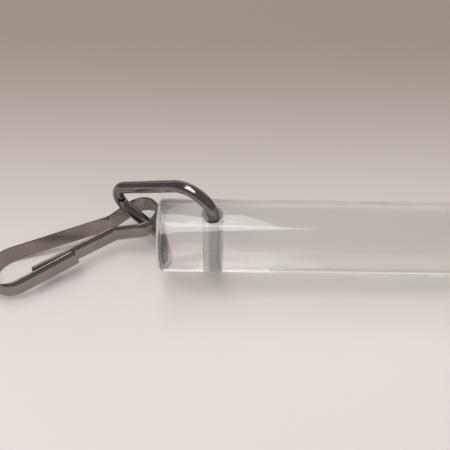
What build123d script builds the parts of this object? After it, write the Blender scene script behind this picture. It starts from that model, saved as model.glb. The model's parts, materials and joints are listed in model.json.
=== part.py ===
"""Curtain wand: a clear round rod, a closed wire ring through its cross hole and a bent-strip snap clip on the ring.

Millimetres, +Z up. The wand lies as on a table: its far end, the ring's lower corner and the clip's hook all
touch one level. The rod runs along +X, with the hole's end at low X. The origin is the centre of the clip's
hook, by which the wand hangs from its curtain carrier.
"""
from build123d import *
import os
from math import acos, asin, atan2, cos, degrees, hypot, radians, sin

# rod
ROD_D = 12.7                # 1/2 in stock
ROD_L = 610.0               # 24 in wand
ROD_EDGE_R = 0.7            # polished edge at both ends
HOLE_D = 3.5
HOLE_FROM_END = 9.4
HOLE_EDGE = 0.3             # broken edge of the cross hole

# wire ring: a rounded triangle whose straight side passes through the hole
WIRE_D = 2.1
RING_BAR = 9.2              # straight length of that side, on the wire's centre line
RING_CORNER_R = 5.1         # the two corners beside the rod, on the centre line
RING_APEX_R = 3.3           # the corner that carries the clip, on the centre line
RING_REACH = 20.0           # from the straight side to the apex, on the centre line
BAR_OFFSET = 0.3            # the straight side lies off the hole's axis, away from the apex
RING_YAW = 27.3             # turned about the hole from straight out of the rod, to the back

# snap clip: one half-round strip bent on edge; u runs from the eye to the hook, v to the front
STRIP_T = 0.75              # at its thickest
STRIP_W = 3.3
STRIP_RIM = 0.27            # thickness at its two edges: the inner face is flat and the outer one bulges
STRIP_EDGE_R = 0.12         # outer edges
STRIP_BREAK = 0.07          # inner edges
EYE_R = 3.325               # on the strip's inner face, like the rest below
THROAT_U = 5.6
THROAT_HALF = 1.43
THROAT_BEND_R = 1.55
HOOK_U = 24.9
HOOK_V = 1.3
HOOK_R = 4.325
GATE_END = (21.35, 3.82)
LIP_END = (13.25, 3.53)
CORNER_R = 0.75             # rounded corners of the strip's two ends

# how the clip hangs on the ring and lies on the ground
EYE_FROM_APEX = 4.1         # eye's centre, measured back from the apex along the ring's reach
EYE_PLAY = 0.26             # the eye's centre lies this far off the wire, away from the hook
CLIP_HEADING = 19.9         # towards the front, from straight along the rod
CLIP_LEAN = 9.6             # top edge to the back

ROD_R = ROD_D / 2
WIRE_R = WIRE_D / 2
RING_HALF = RING_BAR / 2 + RING_CORNER_R        # centre line's half height
AXIS_DROP = RING_HALF + WIRE_R                  # from the hole's crossing to the ring's lowest point
ROD_PITCH = degrees(asin((AXIS_DROP - ROD_R) / (ROD_L - HOLE_FROM_END)))


def wand_frame() -> Location:
    """Where the rod's axis crosses the hole's, with X along the rod and Z along the hole."""
    return Location((0, 0, AXIS_DROP)) * Rotation(0, ROD_PITCH, 0)


def make_rod() -> Part:
    """Clear rod with a cross hole near one end, in the wand's frame."""
    bar = Cylinder(ROD_R, ROD_L, rotation=(0, 90, 0), align=(Align.CENTER, Align.CENTER, Align.MIN))
    bar = Pos(-HOLE_FROM_END, 0, 0) * Rotation(90, 0, 0) * bar      # its seam lies at the side, off the hole
    bar = fillet(bar.edges().filter_by(GeomType.CIRCLE), ROD_EDGE_R)
    bored = bar - Cylinder(HOLE_D / 2, 2 * ROD_D)
    rims = [e for e in bored.edges() if abs(e.center().X) < HOLE_D and e.bounding_box().size.X > HOLE_D / 2]
    return chamfer(rims, HOLE_EDGE)


def side_angle() -> float:
    """Angle in radians by which each slanting side of the ring closes towards the apex."""
    run, rise = RING_REACH - RING_APEX_R - RING_CORNER_R, RING_BAR / 2
    return atan2(rise, run) + asin((RING_CORNER_R - RING_APEX_R) / hypot(run, rise))


def on_circle(centre: tuple, radius: float, angle: float) -> Vector:
    """Point at an angle in degrees on a circle in the XY plane."""
    return Vector(centre[0] + radius * cos(radians(angle)), centre[1] + radius * sin(radians(angle)))


def arc(centre: tuple, radius: float, start: float, end: float) -> Edge:
    """Arc between two angles in degrees, whichever way round they are written."""
    points = (on_circle(centre, radius, a) for a in (start, (start + end) / 2, end))
    return ThreePointArc(*points).edge()


def make_ring() -> Part:
    """Closed wire ring, in the wand's frame with its plane turned to the back."""
    slope = degrees(side_angle())
    high, low = (RING_CORNER_R, RING_BAR / 2), (RING_CORNER_R, -RING_BAR / 2)
    apex = (RING_REACH - RING_APEX_R, 0)
    path = Wire([
        Line((0, low[1]), (0, high[1])).edge(),
        arc(high, RING_CORNER_R, 180, 90 - slope),
        Line(on_circle(high, RING_CORNER_R, 90 - slope), on_circle(apex, RING_APEX_R, 90 - slope)).edge(),
        arc(apex, RING_APEX_R, 90 - slope, slope - 90),
        Line(on_circle(apex, RING_APEX_R, slope - 90), on_circle(low, RING_CORNER_R, slope - 90)).edge(),
        arc(low, RING_CORNER_R, slope - 90, -180),
    ])
    ring = sweep(Plane(path @ 0, z_dir=path % 0) * Circle(WIRE_R), path)
    return ring_frame() * ring


def ring_frame() -> Location:
    """Ring's own plane in the wand's frame: X outwards from the hole, Y up the hole."""
    standing = Plane((0, 0, 0), x_dir=(-1, 0, 0), z_dir=(0, 1, 0)).location
    return Rotation(0, 0, -RING_YAW) * standing * Pos(-BAR_OFFSET, 0, 0)


def wire_at_eye() -> tuple:
    """Where the wire passes through the eye and which way it runs there, in the ring's own plane."""
    slope = side_angle()
    start = on_circle((RING_REACH - RING_APEX_R, 0), RING_APEX_R, degrees(slope) - 90)
    back = start.X - (RING_REACH - EYE_FROM_APEX)
    run = Vector(-cos(slope), -sin(slope))
    return start + run * (back / cos(slope)), run


def touch_angle(point: tuple, centre: tuple, radius: float, side: int) -> float:
    """Angle in degrees at which a line from a point touches a circle, on one side or the other."""
    du, dv = point[0] - centre[0], point[1] - centre[1]
    return degrees(atan2(dv, du) + side * acos(radius / hypot(du, dv)))


def bend(before: Vector, corner: tuple, after: Vector) -> tuple:
    """Arc of the throat's bend radius in the corner between two lines, and its two ends."""
    corner = Vector(*corner)
    back, on = (before - corner).normalized(), (after - corner).normalized()
    half = radians(back.get_angle(on)) / 2
    cut = THROAT_BEND_R * cos(half) / sin(half)
    middle = (back + on).normalized()
    nearest = corner + middle * (THROAT_BEND_R / sin(half) - THROAT_BEND_R)
    first, last = corner + back * cut, corner + on * cut
    return ThreePointArc(first, nearest, last).edge(), first, last


def strip_path() -> Wire:
    """Inner face of the clip's strip from the gate's free end round the eye and the hook to the lip's end."""
    eye, hook = (0, 0), (HOOK_U, HOOK_V)
    near, far = (THROAT_U, THROAT_HALF), (THROAT_U, -THROAT_HALF)
    near_touch = touch_angle(near, eye, EYE_R, 1)
    far_touch = -near_touch
    hook_far = touch_angle(far, hook, HOOK_R, 1)
    hook_near = touch_angle(LIP_END, hook, HOOK_R, -1)
    near_eye, far_eye = on_circle(eye, EYE_R, near_touch), on_circle(eye, EYE_R, far_touch)
    near_bend, gate_stop, near_start = bend(Vector(*GATE_END), near, near_eye)
    far_bend, far_stop, leg_start = bend(far_eye, far, on_circle(hook, HOOK_R, hook_far))
    return Wire([
        Line(Vector(*GATE_END), gate_stop).edge(),
        near_bend,
        Line(near_start, near_eye).edge(),
        arc(eye, EYE_R, near_touch, far_touch + 360),
        Line(far_eye, far_stop).edge(),
        far_bend,
        Line(leg_start, on_circle(hook, HOOK_R, hook_far)).edge(),
        arc(hook, HOOK_R, hook_far, hook_near + 360 * (hook_near < hook_far)),
        Line(on_circle(hook, HOOK_R, hook_near), Vector(*LIP_END)).edge(),
    ])


def strip_section() -> Sketch:
    """Half-round cross-section of the strip: X across its width, Y from the inner face to the outer, bulging one."""
    half_w = STRIP_W / 2
    face = make_face([
        Line((half_w, 0), (-half_w, 0)).edge(),
        Line((-half_w, 0), (-half_w, STRIP_RIM)).edge(),
        ThreePointArc((-half_w, STRIP_RIM), (0, STRIP_T), (half_w, STRIP_RIM)).edge(),
        Line((half_w, STRIP_RIM), (half_w, 0)).edge(),
    ])
    face = fillet(face.vertices().group_by(Axis.Y)[-1], STRIP_EDGE_R)
    return chamfer(face.vertices().group_by(Axis.Y)[0], STRIP_BREAK)


def make_clip() -> Part:
    """Snap clip in its own frame: X from the eye to the hook, Y to the gate's side, Z up its width."""
    path = strip_path()
    start = Plane(path @ 0, x_dir=(0, 0, 1), z_dir=path % 0)
    strip = sweep(start * strip_section(), path)
    for end, to_eye, inward in ((GATE_END, path % 0, path % 0), (LIP_END, path % 1, -(path % 1))):
        outward = to_eye.cross(Vector(0, 0, 1))
        strip -= square_corners(Plane(Vector(*end), x_dir=inward, z_dir=outward))
    return strip


def square_corners(end: Plane) -> Part:
    """What is cut off the two corners of one end of the strip to round them, through the strip and a little past."""
    outline = Rectangle(2 * CORNER_R, STRIP_W + CORNER_R)
    rounded = Pos(STRIP_W, 0) * RectangleRounded(2 * STRIP_W, STRIP_W, CORNER_R)
    return extrude(end.offset(-STRIP_BREAK) * (outline - rounded), STRIP_T + 2 * STRIP_BREAK)


def clip_axes(pitch: float) -> tuple:
    """Unit directions of the clip on the ground: to the hook, to the gate's side and up its width."""
    heading, lean, fall = radians(CLIP_HEADING), radians(CLIP_LEAN), radians(pitch)
    to_hook = Vector(-cos(fall) * cos(heading), -cos(fall) * sin(heading), -sin(fall))
    to_rear = Vector(-sin(heading), cos(heading), 0)
    upright = to_rear.cross(to_hook)
    up = upright * cos(lean) + to_rear * sin(lean)
    return to_hook, up.cross(to_hook), up


def lowest_below_eye(pitch: float) -> float:
    """How far the hook's lowest point lies below the eye's centre at a pitch in degrees."""
    to_hook, to_gate, up = clip_axes(pitch)
    reach = HOOK_R + STRIP_RIM
    centre = to_hook * HOOK_U + to_gate * HOOK_V
    return reach * hypot(to_hook.Z, to_gate.Z) + STRIP_W / 2 * up.Z - centre.Z


def clip_frame() -> Location:
    """Clip threaded on the ring's lower side, pitched until its hook rests on the ground."""
    at, _ = wire_at_eye()
    on_wire = (wand_frame() * ring_frame() * Pos(at.X, at.Y, 0)).position
    flat, steep = 0.0, 45.0
    for _ in range(40):
        pitch = (flat + steep) / 2
        to_hook, _, up = clip_axes(pitch)
        centre = on_wire - to_hook * EYE_PLAY
        flat, steep = (pitch, steep) if lowest_below_eye(pitch) < centre.Z else (flat, pitch)
    return Plane(centre, x_dir=to_hook, z_dir=up).location


def main() -> None:
    """Build each piece and write it to parts/."""
    os.makedirs("parts", exist_ok=True)
    hook = (clip_frame() * Pos(HOOK_U, HOOK_V, 0)).position
    from_hook = Location(-hook)
    wand = from_hook * wand_frame()
    pieces = {
        "wand_rod": wand * make_rod(),
        "wire_ring": wand * make_ring(),
        "snap_clip": from_hook * clip_frame() * make_clip(),
    }
    for name, piece in pieces.items():
        piece.label = name
        export_step(piece, f"parts/{name}.step")


if __name__ == "__main__":
    main()
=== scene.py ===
"""Looks of the curtain wand: clear rod, nickel-plated ring and nickel-plated snap clip on a pale surface."""

import json
import logging
import math
from dataclasses import dataclass, field
from enum import Enum

import bmesh
import bpy
from mathutils import Matrix, Vector

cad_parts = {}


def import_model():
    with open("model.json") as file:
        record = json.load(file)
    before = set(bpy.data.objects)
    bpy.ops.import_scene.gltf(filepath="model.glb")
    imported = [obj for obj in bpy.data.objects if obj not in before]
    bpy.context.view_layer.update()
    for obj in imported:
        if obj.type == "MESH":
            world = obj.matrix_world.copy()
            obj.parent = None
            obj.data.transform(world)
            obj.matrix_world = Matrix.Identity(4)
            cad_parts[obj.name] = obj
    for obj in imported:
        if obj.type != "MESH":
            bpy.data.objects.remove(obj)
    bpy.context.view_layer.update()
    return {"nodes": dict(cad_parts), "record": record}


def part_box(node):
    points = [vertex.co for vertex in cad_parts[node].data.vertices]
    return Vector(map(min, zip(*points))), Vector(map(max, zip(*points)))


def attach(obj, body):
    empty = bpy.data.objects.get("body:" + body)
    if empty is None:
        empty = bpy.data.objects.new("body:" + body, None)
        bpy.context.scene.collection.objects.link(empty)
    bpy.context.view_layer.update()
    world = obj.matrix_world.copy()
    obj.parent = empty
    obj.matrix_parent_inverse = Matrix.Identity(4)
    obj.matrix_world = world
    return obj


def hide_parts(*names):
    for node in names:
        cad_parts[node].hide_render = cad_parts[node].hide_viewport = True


LOG = logging.getLogger("curtain_wand")
MM = 0.001
ACRYLIC_IOR = 1.49
PHOTO_SIDE_PX = 450
SENSOR_MM = 36.0

Colour = tuple[float, float, float]
Span = tuple[float, float]
Socket = bpy.types.NodeSocket


class Slot(Enum):
    """Material slots of the record."""

    CLEAR = "clear_acrylic"
    WIRE = "nickel_wire"
    STRIP = "nickel_strip"


@dataclass(frozen=True)
class HoleFrame:
    """Frame where the rod's axis crosses the cross hole's: X along the rod, Z along the hole."""

    origin: Vector
    along: Vector
    up: Vector

    @property
    def matrix(self) -> Matrix:
        """Matrix from this frame to the row's."""
        x, z = self.along.normalized(), self.up.normalized()
        y = z.cross(x).normalized()
        turned = Matrix((x, y, x.cross(y))).transposed().to_4x4()
        return Matrix.Translation(self.origin) @ turned

    @classmethod
    def from_record(cls, record: dict) -> "HoleFrame":
        """Reads the frame from the ring's joint and the far end's mount.

        Args:
            record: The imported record.

        Returns:
            The frame, in metres.
        """
        hinge = next(j for j in record["behaviour"]["joints"] if j["child"] == "ring")
        end = next(m for m in record["mounts"] if m["name"] == "far_end")
        return cls(Vector(hinge["pos_m"]), Vector(end["axis"]), Vector(hinge["axis"]))


class NodeSheet:
    """Node tree of one material, with short calls for the nodes that this object's finishes use."""

    def __init__(self, name: str) -> None:
        """Starts an empty tree with its output and Principled shader.

        Args:
            name: Name of the material.
        """
        self.material = bpy.data.materials.new(name)
        self.material.use_nodes = True
        self.tree = self.material.node_tree
        self.tree.nodes.clear()
        self.output = self.tree.nodes.new("ShaderNodeOutputMaterial")
        self.shader = self.tree.nodes.new("ShaderNodeBsdfPrincipled")
        self.link(self.shader.outputs["BSDF"], self.output.inputs["Surface"])

    def link(self, source: Socket, target: Socket) -> None:
        """Joins two sockets."""
        self.tree.links.new(source, target)

    def coordinates(self, scale: tuple[float, float, float]) -> Socket:
        """Object coordinates, scaled.

        Args:
            scale: Factor along each axis.

        Returns:
            The vector socket.
        """
        where = self.tree.nodes.new("ShaderNodeTexCoord")
        placed = self.tree.nodes.new("ShaderNodeMapping")
        placed.vector_type = "POINT"
        placed.inputs["Scale"].default_value = scale
        self.link(where.outputs["Object"], placed.inputs["Vector"])
        return placed.outputs["Vector"]

    def noise(self, density: tuple[float, float, float], detail: float, rough: float) -> Socket:
        """Noise value between 0 and 1.

        Args:
            density: Patches in a metre, along each axis.
            detail: Octaves.
            rough: Weight of the fine octaves.

        Returns:
            The value socket.
        """
        node = self.tree.nodes.new("ShaderNodeTexNoise")
        node.inputs["Scale"].default_value = 1.0
        node.inputs["Detail"].default_value = detail
        node.inputs["Roughness"].default_value = rough
        self.link(self.coordinates(density), node.inputs["Vector"])
        return node.outputs["Fac"]

    def spread(self, value: Socket, given: Span, wanted: Span, form: str = "LINEAR") -> Socket:
        """Maps a value from one span to another, clamped.

        Args:
            value: The value socket.
            given: Values that give the wanted span's two ends.
            wanted: Results at those two values.
            form: Shape of the passage between them.

        Returns:
            The mapped value socket.
        """
        node = self.tree.nodes.new("ShaderNodeMapRange")
        node.interpolation_type = form
        node.inputs["From Min"].default_value, node.inputs["From Max"].default_value = given
        node.inputs["To Min"].default_value, node.inputs["To Max"].default_value = wanted
        self.link(value, node.inputs["Value"])
        return node.outputs["Result"]

    def tint(self, value: Socket, first: Colour, second: Colour) -> Socket:
        """Blends two tones by a value.

        Args:
            value: The value socket, 0 for the first tone and 1 for the second.
            first: First tone.
            second: Second tone.

        Returns:
            The colour socket.
        """
        node = self.tree.nodes.new("ShaderNodeMix")
        node.data_type = "RGBA"
        node.inputs["A"].default_value = (*first, 1)
        node.inputs["B"].default_value = (*second, 1)
        self.link(value, node.inputs["Factor"])
        return node.outputs["Result"]

    def let_light_through(self, lamps: float, mirrored: float) -> None:
        """Lets light straight through, which a solid of glass would hold back or trap.

        Args:
            lamps: Part of the lamps' light that passes.
            mirrored: Part of the light mirrored in metal, or inside the glass, that passes.
        """
        path = self.tree.nodes.new("ShaderNodeLightPath")
        clear = self.tree.nodes.new("ShaderNodeBsdfTransparent")
        mixed = self.tree.nodes.new("ShaderNodeMixShader")
        total = self.tree.nodes.new("ShaderNodeMath")
        total.operation = "ADD"
        shares = {"Is Shadow Ray": lamps, "Is Glossy Ray": mirrored}
        for term, (ray, share) in zip(total.inputs, shares.items()):
            part = self.tree.nodes.new("ShaderNodeMath")
            part.operation = "MULTIPLY"
            part.inputs[1].default_value = share
            self.link(path.outputs[ray], part.inputs[0])
            self.link(part.outputs["Value"], term)
        self.link(total.outputs["Value"], mixed.inputs["Fac"])
        self.link(self.shader.outputs["BSDF"], mixed.inputs[1])
        self.link(clear.outputs["BSDF"], mixed.inputs[2])
        self.link(mixed.outputs["Shader"], self.output.inputs["Surface"])

    def relief(self, height: Socket, depth: float) -> None:
        """Gives the shader a bump from a height value.

        Args:
            height: The value socket.
            depth: Depth of the relief in metres.
        """
        node = self.tree.nodes.new("ShaderNodeBump")
        node.inputs["Distance"].default_value = depth
        node.inputs["Strength"].default_value = 1.0
        self.link(height, node.inputs["Height"])
        self.link(node.outputs["Normal"], self.shader.inputs["Normal"])


@dataclass(frozen=True)
class Acrylic:
    """A clear plastic's finish: how much is clear, how rough it is, and the tool's marks in it.

    Attributes:
        name: Name of the material.
        colour: Tint.
        clear_share: Part that lets light through, the rest being frosted.
        roughness: Roughness at the smooth and at the rough patches.
        patches: Noise of the patches: patches in a metre, octaves and weight of the fine ones.
        patch_span: Noise values of the smooth and the rough patches.
        marks: Noise of the marks, as for the patches.
        mark_depth: Depth of the marks in metres.
        lamps_pass: Part of the lamps' light that passes straight through.
        mirrored_pass: Part of mirrored light that passes straight through.
    """

    name: str
    colour: Colour
    clear_share: float
    roughness: Span
    patches: tuple[tuple[float, float, float], float, float]
    patch_span: Span
    marks: tuple[tuple[float, float, float], float, float]
    mark_depth: float
    lamps_pass: float
    mirrored_pass: float = 0.5

    def build(self) -> bpy.types.Material:
        """Makes the material."""
        sheet = NodeSheet(self.name)
        shader = sheet.shader
        shader.inputs["Base Color"].default_value = (*self.colour, 1)
        shader.inputs["Transmission Weight"].default_value = self.clear_share
        shader.inputs["IOR"].default_value = ACRYLIC_IOR
        rough = sheet.spread(sheet.noise(*self.patches), self.patch_span, self.roughness)
        sheet.link(rough, shader.inputs["Roughness"])
        sheet.relief(sheet.noise(*self.marks), self.mark_depth)
        sheet.let_light_through(self.lamps_pass, self.mirrored_pass)
        return sheet.material


@dataclass(frozen=True)
class NickelPlate:
    """Dark nickel plate: slight tone changes, fine rub marks and a soft, nearly mirror gloss.

    Attributes:
        name: Name of the material.
        dark: Darkest tone.
        light: Lightest tone.
        roughness: Roughness at the polished and at the rubbed patches.
        grain: Patches of the grain in a metre.
        grain_depth: Depth of the grain in metres.
        tones: Patches of tone in a metre.
        rubs: Rub marks in a metre.
        middle: Noise values between which tone and roughness change.
    """

    name: str
    dark: Colour
    light: Colour
    roughness: Span
    grain: float
    grain_depth: float = 1.5e-6
    tones: float = 240.0
    rubs: float = 900.0
    middle: Span = (0.3, 0.7)

    def build(self) -> bpy.types.Material:
        """Makes the material."""
        sheet = NodeSheet(self.name)
        shader = sheet.shader
        shader.inputs["Metallic"].default_value = 1.0
        tone = sheet.spread(sheet.noise((self.tones,) * 3, 4.0, 0.6), self.middle, (0.0, 1.0))
        sheet.link(sheet.tint(tone, self.dark, self.light), shader.inputs["Base Color"])
        rub = sheet.spread(sheet.noise((self.rubs,) * 3, 3.0, 0.65), self.middle, self.roughness)
        sheet.link(rub, shader.inputs["Roughness"])
        sheet.relief(sheet.noise((self.grain,) * 3, 2.0, 0.5), self.grain_depth)
        return sheet.material


@dataclass(frozen=True)
class PaleSurface:
    """Plain pale surface under the object, darker to the rear: painted shade in its colour that stands in
    for the lamps' fall-off.

    Attributes:
        name: Name of the material.
        rear: Painted shaded colour behind rear_y.
        front: Lit colour in front of front_y.
        rear_y: Where the rear, painted-shade colour starts, in metres.
        front_y: Where the front, lit colour starts, in metres.
        roughness: Roughness all over.
        sheen: Level of its faint gloss.
    """

    name: str = "pale_surface"
    # Painted light and shade: lit colour at the front, shaded colour at the rear.
    rear: Colour = (0.36, 0.312, 0.288)
    front: Colour = (0.83, 0.795, 0.775)
    rear_y: float = 0.075
    front_y: float = -0.02
    roughness: float = 0.9
    sheen: float = 0.1

    def build(self) -> bpy.types.Material:
        """Makes the material."""
        sheet = NodeSheet(self.name)
        shader = sheet.shader
        shader.inputs["Roughness"].default_value = self.roughness
        shader.inputs["Specular IOR Level"].default_value = self.sheen
        split = sheet.tree.nodes.new("ShaderNodeSeparateXYZ")
        sheet.link(sheet.coordinates((1, 1, 1)), split.inputs["Vector"])
        # Painted shade: the colour darkens smoothly from front_y to rear_y, in place of the lamps' fall-off
        # across the surface.
        painted_light_falloff = sheet.spread(split.outputs["Y"], (self.rear_y, self.front_y), (0.0, 1.0), "SMOOTHSTEP")
        sheet.link(sheet.tint(painted_light_falloff, self.rear, self.front), shader.inputs["Base Color"])
        return sheet.material


CLEAR_FINISH = Acrylic(
    Slot.CLEAR.value, colour=(0.985, 0.985, 0.98), clear_share=0.96, roughness=(0.0, 0.1),
    patches=((30, 260, 260), 4.0, 0.6), patch_span=(0.45, 0.75),
    marks=((6, 900, 900), 2.0, 0.5), mark_depth=0.4e-6, lamps_pass=0.1,
)
DRILLED_FINISH = Acrylic(
    "drilled_acrylic", colour=(0.98, 0.97, 0.96), clear_share=0.25, roughness=(0.3, 0.4),
    patches=((300, 300, 2600), 3.0, 0.6), patch_span=(0.3, 0.7),
    marks=((300, 300, 2600), 3.0, 0.6), mark_depth=2e-6, lamps_pass=1.0,
)
WIRE_FINISH = NickelPlate(
    Slot.WIRE.value, dark=(0.185, 0.168, 0.16), light=(0.245, 0.224, 0.21),
    roughness=(0.08, 0.14), grain=600.0,
)
STRIP_FINISH = NickelPlate(
    Slot.STRIP.value, dark=(0.235, 0.212, 0.196), light=(0.307, 0.278, 0.255),
    roughness=(0.09, 0.15), grain=500.0,
)


@dataclass
class ClearRod:
    """Round rod with rounded ends and a cross hole, in the hole's frame.

    Attributes:
        place: The hole's frame.
        radius: Radius of the rod.
        length: Length of the rod.
        end_round: Rounding of the rod's ends.
        hole_radius: Radius of the cross hole.
        hole_from_end: From the hole's axis to the rod's near end.
        hole_break: Rounding of the hole's rims.
        sides: Facets round the rod.
        hole_sides: Facets round the hole.
        end_steps: Facets across the ends' rounding.
        rim_steps: Facets across the rims' rounding.
        cut_at: Where the rod's long facets are divided, in radii of the hole, so that they shade evenly.
        wall_slack: Widest part of the hole's wall, in radii of the hole.
        wall_slope: Largest slope of the wall's facets.
    """

    place: HoleFrame
    radius: float = 6.35 * MM
    length: float = 610 * MM
    end_round: float = 0.7 * MM
    hole_radius: float = 1.75 * MM
    hole_from_end: float = 9.4 * MM
    hole_break: float = 0.3 * MM
    sides: int = 192
    hole_sides: int = 96
    end_steps: int = 8
    rim_steps: int = 3
    cut_at: tuple[float, ...] = (-2.6, -1.3, 1.3, 2.6)
    wall_slack: float = 1.02
    wall_slope: float = 0.2

    def build(self) -> bpy.types.Object:
        """Makes the rod, rides it on its body and lets it stand for the plain solid.

        Returns:
            The rod's object.
        """
        bar = self._bar()
        drill = self._drill()
        self._cut(bar, drill)
        bpy.data.objects.remove(drill)
        self._dress(bar)
        bar.data.transform(self.place.matrix)
        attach(bar, "rod")
        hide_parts("wand_rod")
        return bar

    def _object(self, name: str, shape: bmesh.types.BMesh) -> bpy.types.Object:
        """Turns a bmesh into an object in the scene."""
        mesh = bpy.data.meshes.new(name)
        shape.to_mesh(mesh)
        shape.free()
        made = bpy.data.objects.new(name, mesh)
        bpy.context.scene.collection.objects.link(made)
        return made

    def _bar(self) -> bpy.types.Object:
        """Makes the bar without its hole, along X.

        Returns:
            The bar's object.
        """
        shape = bmesh.new()
        middle = self.length / 2 - self.hole_from_end
        turn = Matrix.Translation((middle, 0, 0)) @ Matrix.Rotation(math.pi / 2, 4, "Y")
        bmesh.ops.create_cone(
            shape, cap_ends=True, segments=self.sides, radius1=self.radius, radius2=self.radius,
            depth=self.length, matrix=turn,
        )
        rims = [e for e in shape.edges if abs(e.verts[0].co.x - e.verts[1].co.x) < self.end_round]
        bmesh.ops.bevel(
            shape, geom=rims, offset=self.end_round, offset_type="OFFSET", segments=self.end_steps,
            profile=0.5, affect="EDGES", material=-1,
        )
        for radii in self.cut_at:
            bmesh.ops.bisect_plane(
                shape, geom=[*shape.verts, *shape.edges, *shape.faces],
                plane_co=(radii * self.hole_radius, 0, 0), plane_no=(1, 0, 0),
            )
        return self._object("clear_rod", shape)

    def _drill(self) -> bpy.types.Object:
        """Makes the cutter for the cross hole, along Z."""
        shape = bmesh.new()
        bmesh.ops.create_cone(
            shape, cap_ends=True, segments=self.hole_sides, radius1=self.hole_radius,
            radius2=self.hole_radius, depth=4 * self.radius,
        )
        return self._object("drill", shape)

    def _cut(self, bar: bpy.types.Object, drill: bpy.types.Object) -> None:
        """Drills the bar and breaks the hole's two rims.

        Args:
            bar: The bar's object, changed in place.
            drill: The cutter.
        """
        cut = bar.modifiers.new("hole", "BOOLEAN")
        cut.operation, cut.solver, cut.object = "DIFFERENCE", "EXACT", drill
        bpy.context.view_layer.update()
        done = bar.evaluated_get(bpy.context.evaluated_depsgraph_get()).to_mesh()
        shape = bmesh.new()
        shape.from_mesh(done)
        bar.modifiers.remove(cut)
        wall = {face for face in shape.faces if self._on_wall(face)}
        rims = [edge for edge in shape.edges if len(wall.intersection(edge.link_faces)) == 1]
        broken = bmesh.ops.bevel(
            shape, geom=rims, offset=self.hole_break, offset_type="OFFSET", segments=self.rim_steps,
            profile=0.5, affect="EDGES", material=-1,
        )
        lips = set(broken["faces"])
        for face in shape.faces:
            face.smooth = True
            face.material_index = 1 if self._on_wall(face) else 0
        for edge in shape.edges:
            edge.smooth = len({face in lips for face in edge.link_faces}) == 1
        shape.to_mesh(bar.data)
        shape.free()

    def _on_wall(self, face: bmesh.types.BMFace) -> bool:
        """Tells whether a face belongs to the hole's wall."""
        middle = face.calc_center_median()
        inside = math.hypot(middle.x, middle.y) < self.hole_radius * self.wall_slack
        return inside and abs(face.normal.z) < self.wall_slope

    def _dress(self, bar: bpy.types.Object) -> None:
        """Gives the bar its two finishes, clear first and drilled second."""
        for finish in (CLEAR_FINISH, DRILLED_FINISH):
            bar.data.materials.append(finish.build())


@dataclass
class MetalPart:
    """A metal solid of the frame that keeps its shape and gets its finish."""

    node: bpy.types.Object
    finish: NickelPlate

    def build(self) -> bpy.types.Object:
        """Gives the node its material.

        Returns:
            The node's object.
        """
        self.node.data.materials.clear()
        self.node.data.materials.append(self.finish.build())
        return self.node


@dataclass(frozen=True)
class Panel:
    """Soft lamp that faces the origin, which is in the clip's hook.

    Attributes:
        name: Name of the lamp.
        at: Its middle, in metres.
        width: Size across.
        depth: Size along.
        radiance: Brightness of its face.
        colour: Tint.
    """

    name: str
    at: Vector
    width: float
    depth: float
    radiance: float
    colour: Colour = (1.0, 0.97, 0.94)


@dataclass
class Studio:
    """Surface, lamps and surroundings.

    Attributes:
        ground: Level on which the object rests, in metres.
        reach: Half of the surface's side, in metres.
        surround: Colour of the even, dim room.
        panels: The lamps.
        surface: Finish of the surface, with painted shade towards the rear.
    """

    ground: float
    reach: float = 4.0
    surround: Colour = (0.27, 0.255, 0.246)
    panels: tuple[Panel, ...] = (
        Panel("ceiling_light", Vector((-0.01, 0.11, 0.65)), 0.17, 0.5, 4.0),
        Panel("front_light", Vector((-0.17, -0.2, 0.85)), 0.5, 0.5, 5.2),
        Panel("rear_wall", Vector((0.1, 1.2, 0.34)), 2.4, 0.5, 0.7),
    )
    surface: PaleSurface = field(default_factory=PaleSurface)

    def build(self) -> None:
        """Lays the surface and sets the light."""
        self._floor()
        self._world()
        for panel in self.panels:
            self._lamp(panel)

    def _floor(self) -> None:
        """Lays the floor at the level on which the object rests."""
        shape = bmesh.new()
        bmesh.ops.create_grid(shape, x_segments=2, y_segments=2, size=self.reach)
        bmesh.ops.translate(shape, verts=shape.verts, vec=(0, 0, self.ground))
        mesh = bpy.data.meshes.new("floor")
        shape.to_mesh(mesh)
        shape.free()
        floor = bpy.data.objects.new("floor", mesh)
        mesh.materials.append(self.surface.build())
        bpy.context.scene.collection.objects.link(floor)

    def _world(self) -> None:
        """Sets an even, dim room."""
        world = bpy.data.worlds.new("room")
        world.use_nodes = True
        back = world.node_tree.nodes["Background"]
        back.inputs["Color"].default_value = (*self.surround, 1)
        back.inputs["Strength"].default_value = 1.0
        bpy.context.scene.world = world

    def _lamp(self, panel: Panel) -> None:
        """Hangs one lamp, turned to the origin and unseen by the camera."""
        light = bpy.data.lights.new(panel.name, "AREA")
        light.shape = "RECTANGLE"
        light.size, light.size_y = panel.width, panel.depth
        light.energy = panel.radiance * math.pi * panel.width * panel.depth
        light.color = panel.colour
        lamp = bpy.data.objects.new(panel.name, light)
        lamp.location = panel.at
        lamp.rotation_euler = (-panel.at).to_track_quat("-Z", "Y").to_euler()
        lamp.visible_camera = False
        bpy.context.scene.collection.objects.link(lamp)


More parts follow.
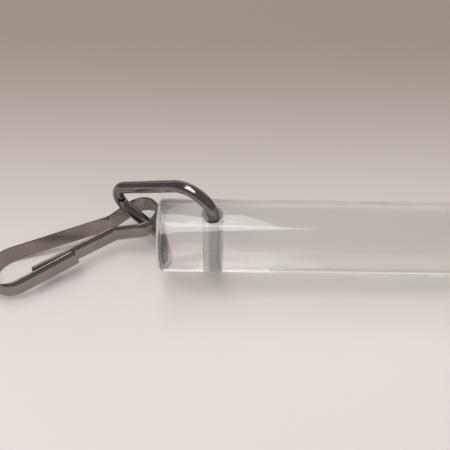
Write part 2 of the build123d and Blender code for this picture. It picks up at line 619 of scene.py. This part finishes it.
@dataclass
class PhotoCamera:
    """Camera at the photograph's place, given in the hole's frame in millimetres and degrees.

    Attributes:
        place: The hole's frame.
        azimuth: Turn round the hole's axis.
        elevation: Height above the rod's plane.
        roll: Turn about the line of sight.
        across: How far right of the middle the hole is seen.
        upwards: How far above the middle the hole is seen.
        distance: From the camera to the hole's plane.
        focal_px: Focal length in the photograph's pixels.
        nearest: Nearest thing drawn, in metres.
        farthest: Farthest thing drawn, in metres.
    """

    place: HoleFrame
    azimuth: float = 1.3
    elevation: float = 52.0
    roll: float = -0.2
    across: float = -2.03
    upwards: float = -1.84
    distance: float = 125.14
    focal_px: float = 720.0
    nearest: float = 0.005
    farthest: float = 20.0

    def build(self) -> None:
        """Makes the camera and hands it to the scene."""
        az, el = math.radians(self.azimuth), math.radians(self.elevation)
        right = Vector((math.cos(az), math.sin(az), 0))
        back = Vector((math.sin(az) * math.cos(el), -math.cos(az) * math.cos(el), math.sin(el)))
        up = back.cross(right)
        tilt = Matrix.Rotation(math.radians(self.roll), 3, back)
        right, up = tilt @ right, tilt @ up
        where = (back * self.distance - right * self.across - up * self.upwards) * MM
        stand = Matrix((right, up, back)).transposed().to_4x4()
        data = bpy.data.cameras.new("photo_camera")
        data.sensor_width = SENSOR_MM
        data.lens = self.focal_px / PHOTO_SIDE_PX * SENSOR_MM
        data.clip_start, data.clip_end = self.nearest, self.farthest
        camera = bpy.data.objects.new("photo_camera", data)
        camera.matrix_world = self.place.matrix @ Matrix.Translation(where) @ stand
        bpy.context.scene.collection.objects.link(camera)
        bpy.context.scene.camera = camera


def main() -> None:
    """Loads the frame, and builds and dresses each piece."""
    logging.basicConfig(level=logging.INFO, format="%(name)s: %(message)s")
    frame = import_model()
    bpy.context.scene.view_settings.view_transform = "Standard"
    place = HoleFrame.from_record(frame["record"])
    ground = min(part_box(name)[0].z for name in frame["nodes"])
    for maker in (
        ClearRod(place),
        MetalPart(frame["nodes"]["wire_ring"], WIRE_FINISH),
        MetalPart(frame["nodes"]["snap_clip"], STRIP_FINISH),
    ):
        piece = maker.build()
        LOG.info("%s: %d faces", piece.name, len(piece.data.polygons))
    Studio(ground).build()
    PhotoCamera(place).build()


if __name__ == "__main__":
    main()
